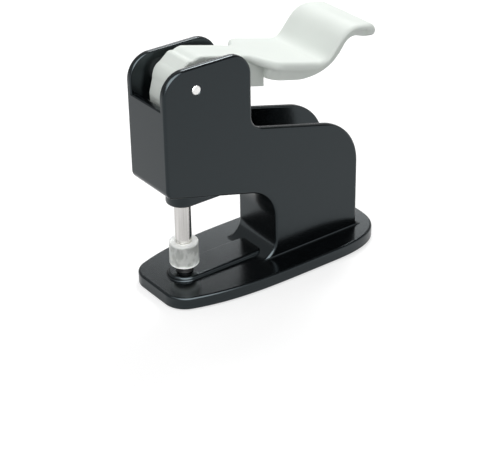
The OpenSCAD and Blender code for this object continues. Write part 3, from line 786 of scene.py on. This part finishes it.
top_line = paddle_line(ARM_TOP, CLIMB, LIP, DIP_RADIUS, CREST_RADIUS)
ceiling_line = paddle_line(below(ARM_TOP, ARM_SLOPE), below(CLIMB, CLIMB_SLOPE), below(LIP, LIP_SLOPE),
                           DIP_RADIUS + SHELL, CREST_RADIUS - SHELL)
skirt_line = path([(SEAM, on_slope(SEAM, SKIRT_SLOPE, SKIRT)),
                   (*crossing(SKIRT, SKIRT_SLOPE, SKIRT_CLIMB, SKIRT_CLIMB_SLOPE), SKIRT_RADIUS),
                   (*crossing(SKIRT_CLIMB, SKIRT_CLIMB_SLOPE, LIP_UNDER, LIP_UNDER_SLOPE), LIP_UNDER_RADIUS),
                   (LIP_END, on_slope(LIP_END, LIP_UNDER_SLOPE, LIP_UNDER))])
plan_line = path([(BROW, ARM_HALF), (FLARE_START, ARM_HALF, 6), (FLARE_END, PADDLE_HALF, 8),
                  (LIP_END, PADDLE_HALF)])
print("lowest and highest point of the top, mm:",
      [round(pick(z for x, z in top_line), 1) for pick in (min, max)])

# %% [markdown]
# Each half section runs from the middle of the top, round a rolled bead, into the crease
# under it, down the skirt, and back underneath. In the hollow part it also climbs up
# inside to the ceiling. The skirt stands a little inside the bead and leans inwards, so
# that it lies in the bead's shade. Where the paddle turns away from straight ahead, the
# bead is stretched so that it keeps its true radius across the edge. On the climb the
# bead takes a smaller share of the height, and the skirt stands back less.

# %% One section of the lever
ROLL_STEPS, SKIRT_STEPS = 9, 3
CREASE_TURN, CREASE_STEP, SKIRT_LEAN, SKIRT_DROP = math.radians(35), 1.2, 1.5, 1.2
SKIRT_WALL, SKIRT_ROUND, BEAD_SHARE = 1.2, 0.6, 0.62


def lever_section(x, roll, crease=0.0, hollow=False, deep=False, half_height=None, half_width=None,
                  under_roll=SKIRT_ROUND, most=BEAD_SHARE, tuck=1.0):
    """Section of the lever at x, a ring of points symmetrical about its middle.

    most is the bead's largest share of the height, tuck the skirt's share of its step back.
    """
    top, rise = level(top_line, x)
    bottom = level(skirt_line, max(x, SEAM))[0] - SKIRT_DROP * crease
    if deep:
        bottom = on_slope(x, ARM_SLOPE, ARM_BOTTOM)
    width, spread = level(plan_line, x)
    if half_height is not None:
        middle = (top + bottom) / 2
        top, bottom, width = middle + half_height, middle - half_height, half_width
    stretch = math.sqrt(1 + min(spread, 1.5) ** 2)
    turn = math.pi / 2 + CREASE_TURN * crease
    share = 1 - math.cos(turn)
    roll_y = roll * stretch
    roll_z = min(roll * math.sqrt(1 + rise ** 2) * share, (top - bottom) * most) / share
    half = [(0, top), ((width - roll_y) * 0.6, top)]
    for i in range(ROLL_STEPS + 1):
        a = turn * i / ROLL_STEPS
        half.append((width - roll_y * (1 - math.sin(a)), top - roll_z * (1 - math.cos(a))))
    edge_y, edge_z = half[-1]
    half.append((edge_y - CREASE_STEP * tuck * crease, edge_z + 0.12 * crease - 0.05 * (1 - crease)))
    foot_y = edge_y - (CREASE_STEP + SKIRT_LEAN) * tuck * crease
    low_z = min(under_roll, edge_z - bottom - 0.2)
    for i in range(SKIRT_STEPS + 1):
        a = math.pi / 2 * i / SKIRT_STEPS
        half.append((foot_y - under_roll * (1 - math.cos(a)), bottom + low_z * (1 - math.sin(a))))
    inside = foot_y - SKIRT_WALL - under_roll - 0.3 * stretch
    if hollow:
        ceiling, _ = level(ceiling_line, x)
        half += [(inside + 0.4, bottom), (inside, bottom + 0.4), (inside, ceiling - 2),
                 (inside - 0.5, ceiling - 0.6), (inside - 1.9, ceiling), (inside * 0.4, ceiling),
                 (0, ceiling)]
    else:
        half += [(inside * k, bottom) for k in (1.0, 0.8, 0.6, 0.45, 0.3, 0.15, 0)]
    return [Vector((x, y, z + PIVOT)) for y, z in half] + [
        Vector((x, -y, z + PIVOT)) for y, z in reversed(half[1:-1])]


# %% [markdown]
# The sections run from the brow of the arm to the end of the lip: the deep arm, the flare
# where the bead grows and the crease opens, the hollow paddle, the solid lip, and last a
# bulb whose height shrinks along a quarter circle.

# %% Arm and paddle
ARM_ROLL, BEAD, LIP_SWELL, LIP_ROUND = 1.3, 2.9, 0.4, 2.6
CLIMB_SHARE, CLIMB_TUCK, LIP_UNDER_ROUND = 0.42, 0.4, 1.2
HOLLOW_START, HOLLOW_END, BULB, JOINT = 42.5, LIP_END - 8, 3.3, 0.05


def places(start, end, step):
    """Even places from start to end, at most a step apart."""
    count = max(1, math.ceil((end - start) / step - 1e-6))
    return [start + (end - start) * i / count for i in range(count + 1)]


def ramp(x, start, end):
    """0 before start, 1 after end, and a straight rise between."""
    return min(1.0, max(0.0, (x - start) / (end - start)))


def mixed(first, second, share):
    return first + (second - first) * share


bulb_start = LIP_END - BULB
sections = [lever_section(x, ARM_ROLL, deep=True) for x in places(BROW, SEAM, 1.5)]
sections += [lever_section(x, mixed(ARM_ROLL, BEAD, ramp(x, SEAM, 42)), ramp(x, 36, 40))
             for x in places(SEAM, HOLLOW_START, 0.6)]
sections += [lever_section(x, BEAD, 1 - ramp(x, 107, 112), hollow=True,
                           under_roll=mixed(SKIRT_ROUND, LIP_UNDER_ROUND, ramp(x, 95, 107)),
                           most=mixed(BEAD_SHARE, CLIMB_SHARE, ramp(x, 70, 84)),
                           tuck=mixed(1, CLIMB_TUCK, ramp(x, 70, 84)))
             for x in places(HOLLOW_START + JOINT, 51, 0.5) + places(51.9, HOLLOW_END, 0.9)]
sections += [lever_section(x, BEAD + LIP_SWELL * ramp(x, 106, 111), 1 - ramp(x, 107, 112),
                           under_roll=mixed(LIP_UNDER_ROUND, LIP_ROUND, ramp(x, HOLLOW_END, 111)),
                           most=mixed(CLIMB_SHARE, BEAD_SHARE, ramp(x, 106, 111)), tuck=CLIMB_TUCK)
             for x in places(HOLLOW_END + JOINT, bulb_start, 0.7)]
thick = (level(top_line, bulb_start)[0] - level(skirt_line, bulb_start)[0]) / 2
for a in (math.radians(d) for d in (15, 30, 45, 60, 72, 82)):
    high = thick * math.cos(a)
    sections.append(lever_section(
        bulb_start + BULB * math.sin(a), min(BEAD + LIP_SWELL, high), half_height=high,
        half_width=PADDLE_HALF - 3.6 * (1 - math.cos(a)), under_roll=min(LIP_ROUND, high * 0.95)))
paddle = new_object("lever_casting", loft(sections))
print("sections along the lever:", len(sections))

# %% [markdown]
# At its front the paddle overhangs the arm: the bead runs on, but the skirt begins a
# little further back. One block, cut away under the bead, gives that step.

# %% Front of the skirt
SKIRT_START, CUT_FRONT, CUT_BOTTOM = 45.2, 31, -25


def on_arm_top(x):
    return on_slope(x, ARM_SLOPE, ARM_TOP)


def on_arm_bottom(x):
    return on_slope(x, ARM_SLOPE, ARM_BOTTOM)


def lever_plate(outline, half):
    return new_plate([(x, z + PIVOT, *r) for x, z, *r in outline], -half, half, standing=True)


bead_drop = BEAD * (1 - math.cos(math.pi / 2 + CREASE_TURN)) + 0.06
combine(paddle, "front_cut", lever_plate([
    (CUT_FRONT, on_arm_top(CUT_FRONT) - bead_drop), (CUT_FRONT, CUT_BOTTOM), (SKIRT_START, CUT_BOTTOM),
    (SKIRT_START, on_arm_top(SKIRT_START) - bead_drop)], 30), "DIFFERENCE")
print("height of the bead over the skirt, mm:", round(bead_drop, 2))

# %% [markdown]
# In front of the arm stands the hub with its cam, a plate with softened edges. The cam
# face follows the path of the plunger's dome, which moves away from the pivot by the same
# amount for every degree. Under the arm goes a deep beam, square at its end.

# %% Hub, cam and beam
STROKE, SWING, DOME_RADIUS, CAM_GAP, CAM_REACH = 12.0, 60.0, 4.5, 0.3, 30.8
HUB_HALF, HUB_RADIUS, HUB_REAR = ARM_HALF - 0.03, 9.6, 12.1
BEAM_START, BEAM_TOP, BUSH_BORE = 26, 4, 4.2


def cam_point(degrees):
    """A point of the cam face, kept off the dome by the cam's gap."""
    a, rate = math.radians(degrees), STROKE / math.radians(SWING)
    reach = CAM_REACH - rate * (math.radians(270) - a)
    centre = Vector((math.cos(a), math.sin(a))) * reach
    travel = Vector((rate * math.cos(a) - reach * math.sin(a), rate * math.sin(a) + reach * math.cos(a)))
    travel.normalize()
    return tuple(centre + (DOME_RADIUS + CAM_GAP) * Vector((-travel.y, travel.x)))


hub_arc = [(HUB_RADIUS * math.cos(math.radians(d)), HUB_RADIUS * math.sin(math.radians(d)))
           for d in range(115, 181, 5)]
cam_face = [cam_point(d) for d in range(210, 277, 3)]
hub = lever_plate([
    (BROW + 0.4, on_arm_top(BROW + 0.4) - 0.02), (7.6, on_arm_top(7.6) - 0.02, 7), (3.6, 12.25, 3.0),
    (1, 12.75, 3.0), *hub_arc, (-11.6, -7.1), *cam_face, (9, -17), (14, on_arm_bottom(14) + 0.02),
    (14, 0), (12.4, 6)], HUB_HALF)
print("edges of the hub rounded:", round_edges(
    hub, lambda e: on_both_sides(HUB_HALF)(e) and min(v.co.x for v in e.verts) < HUB_REAR, 1.2, 4))
beam = lever_plate([
    (BEAM_START, on_arm_bottom(BEAM_START) + 0.03), (ARM_END, on_arm_bottom(ARM_END)),
    (ARM_END, on_arm_top(ARM_END) - BEAM_TOP), (BEAM_START, on_arm_top(BEAM_START) - BEAM_TOP)], HUB_HALF)
round_edges(beam, lambda e: rim_at(0, ARM_END)(e) and abs(e.verts[0].co.y - e.verts[1].co.y) < 1e-3, 0.8, 3)
combine(paddle, "hub", hub, "UNION")
combine(paddle, "beam", beam, "UNION")
combine(paddle, "bush_bore", lay_along_y(spun([
    (0, -12), (BUSH_BORE, -12), (BUSH_BORE, 12), (0, 12)]), PIVOT), "DIFFERENCE")
finish_piece(paddle, GREY_ENAMEL, "lever_group", ["lever"])

# %% [markdown]
# ## Turned pieces
# The plunger, the pin, the sleeve and the lower die are turned on a lathe or moulded
# round, so each is a profile spun about its axis, with the small chamfers and roundings
# that a real edge has.

# %% Plunger and pin
LATHE_STEPS = 128
ROD, ROD_FOOT, CHAMFER, DOME_TOP = 4.5, 19, 0.35, 96.2


def turned(name, profile, material, body, replaces, height=None):
    bm = spun(profile, LATHE_STEPS)
    if height is not None:
        lay_along_y(bm, height)
    finish_piece(new_object(name, bm), material, body, replaces, smooth_angle=40)


turned("plunger_rod", [
    (0, 28), (2.03, 28), (2.03, ROD_FOOT), (ROD - CHAMFER, ROD_FOOT), (ROD, ROD_FOOT + CHAMFER),
    (ROD, 23.8), (3.95, 23.8), (3.95, 25.6), (ROD, 25.6), (ROD, 87.45), (3.75, 87.45), (3.75, 88.35),
    (ROD, 88.35), (ROD, DOME_TOP, 4.49), (0, DOME_TOP)],
    GROUND_STEEL, "plunger_group", ["plunger"])
turned("pivot_pin_turned", [
    (0, -HALF_BODY), (PIN - CHAMFER, -HALF_BODY), (PIN, CHAMFER - HALF_BODY), (PIN, HALF_BODY - CHAMFER),
    (PIN - CHAMFER, HALF_BODY), (0, HALF_BODY)],
    PIN_STEEL, "press_frame", ["pivot_pin"], height=PIVOT)

# %% [markdown]
# The sleeve is a cup pushed over the rod, with round lips. The lower die is a stud with a
# flange and a shallow cup on top.

# %% Sleeve and lower die
ON_ROD, SLEEVE_HOLE = 4.53, 6.03
turned("frosted_sleeve", [
    (SLEEVE_HOLE, ROD_FOOT), (SLEEVE_HOLE, 14.9), (6.6, 14.1, 0.5), (8.15, 14.1, 1.4), (7.85, 28.1, 0.6),
    (4.9, 28.1, 0.35), (ON_ROD, 27.5), (ON_ROD, ROD_FOOT), (SLEEVE_HOLE, ROD_FOOT)],
    FROSTED, "plunger_group", ["die_sleeve"])
turned("lower_die_turned", [
    (0, 6.8), (1.5, 6.8), (1.5, DIE_SEAT), (3.7, DIE_SEAT), (4.0, 6.1), (4.0, 9.8), (4.6, 9.8), (4.8, 10.0),
    (4.8, 10.5, 0.3), (4.2, 10.8, 0.3), (4.0, 12.6, 0.4), (3.0, 12.6, 0.3), (2.5, 11.6, 0.4), (0, 11.6)],
    BLACK_NYLON, "press_frame", ["lower_die"])

# %% [markdown]
# The spring is held between a washer on the boss and a cap on the rod, whose lip centres
# it. Two nylon rings keep the hub of the lever in the middle, between the cheeks.

# %% Spring cap, washer and spacers
turned("spring_cap_turned", [
    (ON_ROD, 84.1), (5.55, 84.1), (5.75, 84.3), (5.75, 85), (8.0, 85), (8.3, 85.3), (8.3, 87.5, 0.7),
    (4.9, 87.5, 0.2), (ON_ROD, 87.2), (ON_ROD, 84.1)],
    ZINC_PLATE, "plunger_group", ["spring_cap"])
turned("spring_washer", [
    (5.0, BOSS_TOP), (8.1, BOSS_TOP), (8.3, 70.2), (8.3, 71, 0.3), (5.0, 71, 0.2), (5.0, BOSS_TOP)],
    ZINC_PLATE, "press_frame", ["spring_seat"])
for side, name in ((-1, "near"), (1, "far")):
    turned(name + "_spacer_turned", [
        (2.7, side * 9.6), (6.1, side * 9.6), (6.5, side * 10.0), (6.5, side * 12.7), (6.1, side * 13.1),
        (2.7, side * 13.1), (2.7, side * 9.6)],
        WHITE_NYLON, "press_frame", [name + "_spacer"], height=PIVOT)

# %% [markdown]
# ## Return spring
# The spring is one wire wound into eight turns, with a closed turn at each end. Its small
# round section is lofted along the helix. It stretches between the frame and the
# plunger.

# %% Return spring
WIRE, COIL, TURNS, SECTIONS_PER_TURN = 0.6, 6.6, 8, 36
LOW_COIL, HIGH_COIL = 71.62, 84.38
OPEN_RISE = (HIGH_COIL - LOW_COIL - 4 * WIRE) / (TURNS - 2)


def coil_height(t):
    if t < 1:
        return LOW_COIL + 2 * WIRE * t
    if t < TURNS - 1:
        return LOW_COIL + 2 * WIRE + OPEN_RISE * (t - 1)
    return HIGH_COIL - 2 * WIRE * (TURNS - t)


def wire_section(t, sides=12):
    ring = []
    for k in range(sides):
        a, b = 2 * math.pi * k / sides, 2 * math.pi * t
        r = COIL + WIRE * math.cos(a)
        ring.append(Vector((r * math.cos(b), r * math.sin(b), coil_height(t) + WIRE * math.sin(a))))
    return ring


winding = [wire_section(i / SECTIONS_PER_TURN) for i in range(TURNS * SECTIONS_PER_TURN + 1)]
spring = new_object("return_spring_wound", loft(winding))
finish_piece(spring, SPRING_WIRE, None, ["return_spring"], smooth_angle=60, weighted=False)
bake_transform(spring)

# %% [markdown]
# ## Pieces kept from the construction model
# Small pieces whose construction shape is already right only need their finish. Their
# meshes are left alone.

# %% Finishes of the kept pieces
KEPT = {
    "base_pad": RUBBER, "lever_bumper": RUBBER, "sleeve_ring": RUBBER, "lower_bush": BRONZE,
    "upper_bush": BRONZE, "near_bush": BRONZE, "far_bush": BRONZE, "lower_die_screw": ZINC_PLATE,
    "die_lock_screw": ZINC_PLATE, "spring_clip": SPRING_WIRE, "upper_die": WHITE_NYLON}
for name, material in KEPT.items():
    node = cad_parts[name]
    node.data.materials.clear()
    node.data.materials.append(material)
print("kept pieces:", len(KEPT))

# %% [markdown]
# ## Stage and light
# The press stands on a white table. Its paint is a middling grey, so that little light
# bounces back up, and a glow lifts it to white for the camera, less so in reflections.
# The glow is only added to the paint, so the shadow of the press still shows.

# %% Table
TABLE_LIFT, TABLE_SHINE, TABLE_HALF = 0.60, 0.38, 3000


def kinds_of_ray(tree):
    """Two masks: what the camera sees, and what glossy surfaces see."""
    outputs = tree.nodes.new("ShaderNodeLightPath").outputs
    camera_ray, glossy_ray, clear_ray = (
        Wire(tree, outputs[f"Is {kind} Ray"]) for kind in ("Camera", "Glossy", "Transmission"))
    return camera_ray.math("MAXIMUM", camera_ray, clear_ray), glossy_ray


table = bmesh.new()
bmesh.ops.create_grid(table, x_segments=1, y_segments=1, size=TABLE_HALF)
bmesh.ops.scale(table, vec=(MM, MM, MM), verts=table.verts)
table_top = new_object("table_top", table)
paint, paint_shader, place = new_finish(
    "white_table", Roughness=0.9, Specular_IOR_Level=0.0, Emission_Strength=1.0)
seen, glossy_ray = kinds_of_ray(paint.node_tree)
lift = seen * TABLE_LIFT + glossy_ray * TABLE_SHINE
feed(paint_shader,
     Base_Color=speckle(place, 60.0).colour((0.50, 0.50, 0.50), (0.52, 0.52, 0.52)),
     Emission_Color=lift.colour((0, 0, 0), (1, 1, 1)))
table_top.data.materials.append(paint)
print("table, m across:", round(table_top.dimensions.x, 2))

# %% [markdown]
# The room is full white to the camera and dimmer as a source of light, so that a colour
# renders about as it is written. Black enamel shows what it reflects, so in reflections
# the room has a light band low on the near side, a dark patch high over the rear, and a
# bright card above the camera, which draws thin lines of light along the edges.

# %% Room
ROOM_LIGHT, ROOM_SHINE, BAND_SHINE, CARD_SHINE, PATCH_DEPTH = 0.62, 0.42, 0.7, 6, 0.65
DARK_PATCH, BRIGHT_CARD = (0.504, -0.353, 0.788), (-0.314, -0.673, 0.669)


def facing(looking, towards):
    """1 where a ray looks that way, and less the more it turns away."""
    return looking.node("ShaderNodeVectorMath", {"operation": "DOT_PRODUCT"},
                        {0: looking, 1: towards}, output=1)


room = bpy.data.worlds.new("white_room")
bpy.context.scene.world = room
room.use_nodes = True
sky = room.node_tree
seen, glossy_ray = kinds_of_ray(sky)
looking = Wire(sky, sky.nodes.new("ShaderNodeTexCoord").outputs["Generated"])
way_y, way_z = (looking.node("ShaderNodeSeparateXYZ", {}, {0: looking}, output=i) for i in (1, 2))
band = (1 - way_y.between(-0.6, 0.0)) * (1 - way_z.between(0.2, 0.5))
patch = facing(looking, DARK_PATCH).between(0.78, 0.93)
card = facing(looking, BRIGHT_CARD).between(0.76, 0.90)
shine = (ROOM_SHINE + band * BAND_SHINE) * (1 - patch * PATCH_DEPTH) + card * CARD_SHINE
level_of_light = ROOM_LIGHT + glossy_ray * (shine - ROOM_LIGHT)
background = sky.nodes["Background"]
background.inputs["Color"].default_value = (1, 1, 1, 1)
sky.links.new(seen.math("MAXIMUM", seen, level_of_light).socket, background.inputs["Strength"])
print("nodes of the room:", len(sky.nodes))

# %% [markdown]
# Three lamps shape the press. A softbox high behind on the far side throws the soft
# shadow forwards. A low, wide one behind it lights the rounded rims, and a broad one in
# front fills in the faces that look forwards.

# %% Lamps
MIDDLE = Vector((50, 0, 60))


def soft_lamp(name, heading, height, distance, width, tall, power):
    """An area lamp in a direction given in degrees, aimed at the middle of the press."""
    lamp = bpy.data.objects.new(name, bpy.data.lights.new(name, "AREA"))
    bpy.context.scene.collection.objects.link(lamp)
    lamp.data.shape = "RECTANGLE"
    lamp.data.size, lamp.data.size_y, lamp.data.energy = width * MM, tall * MM, power
    heading, height = math.radians(heading), math.radians(height)
    way = Vector((math.cos(heading) * math.cos(height), math.sin(heading) * math.cos(height),
                  math.sin(height)))
    turn = (-way).to_track_quat("-Z", "Y").to_matrix().to_4x4()
    lamp.matrix_world = Matrix.Translation((MIDDLE + way * distance) * MM) @ turn


soft_lamp("softbox", 40, 50, 1000, 290, 290, 4.4)
soft_lamp("window_band", 52, 23.5, 1500, 620, 200, 0.95)
soft_lamp("front_fill", 182, 50, 1000, 600, 600, 2.4)
bpy.context.scene.view_settings.view_transform = "Standard"
print("lamps:", [lamp.name for lamp in bpy.data.lights])
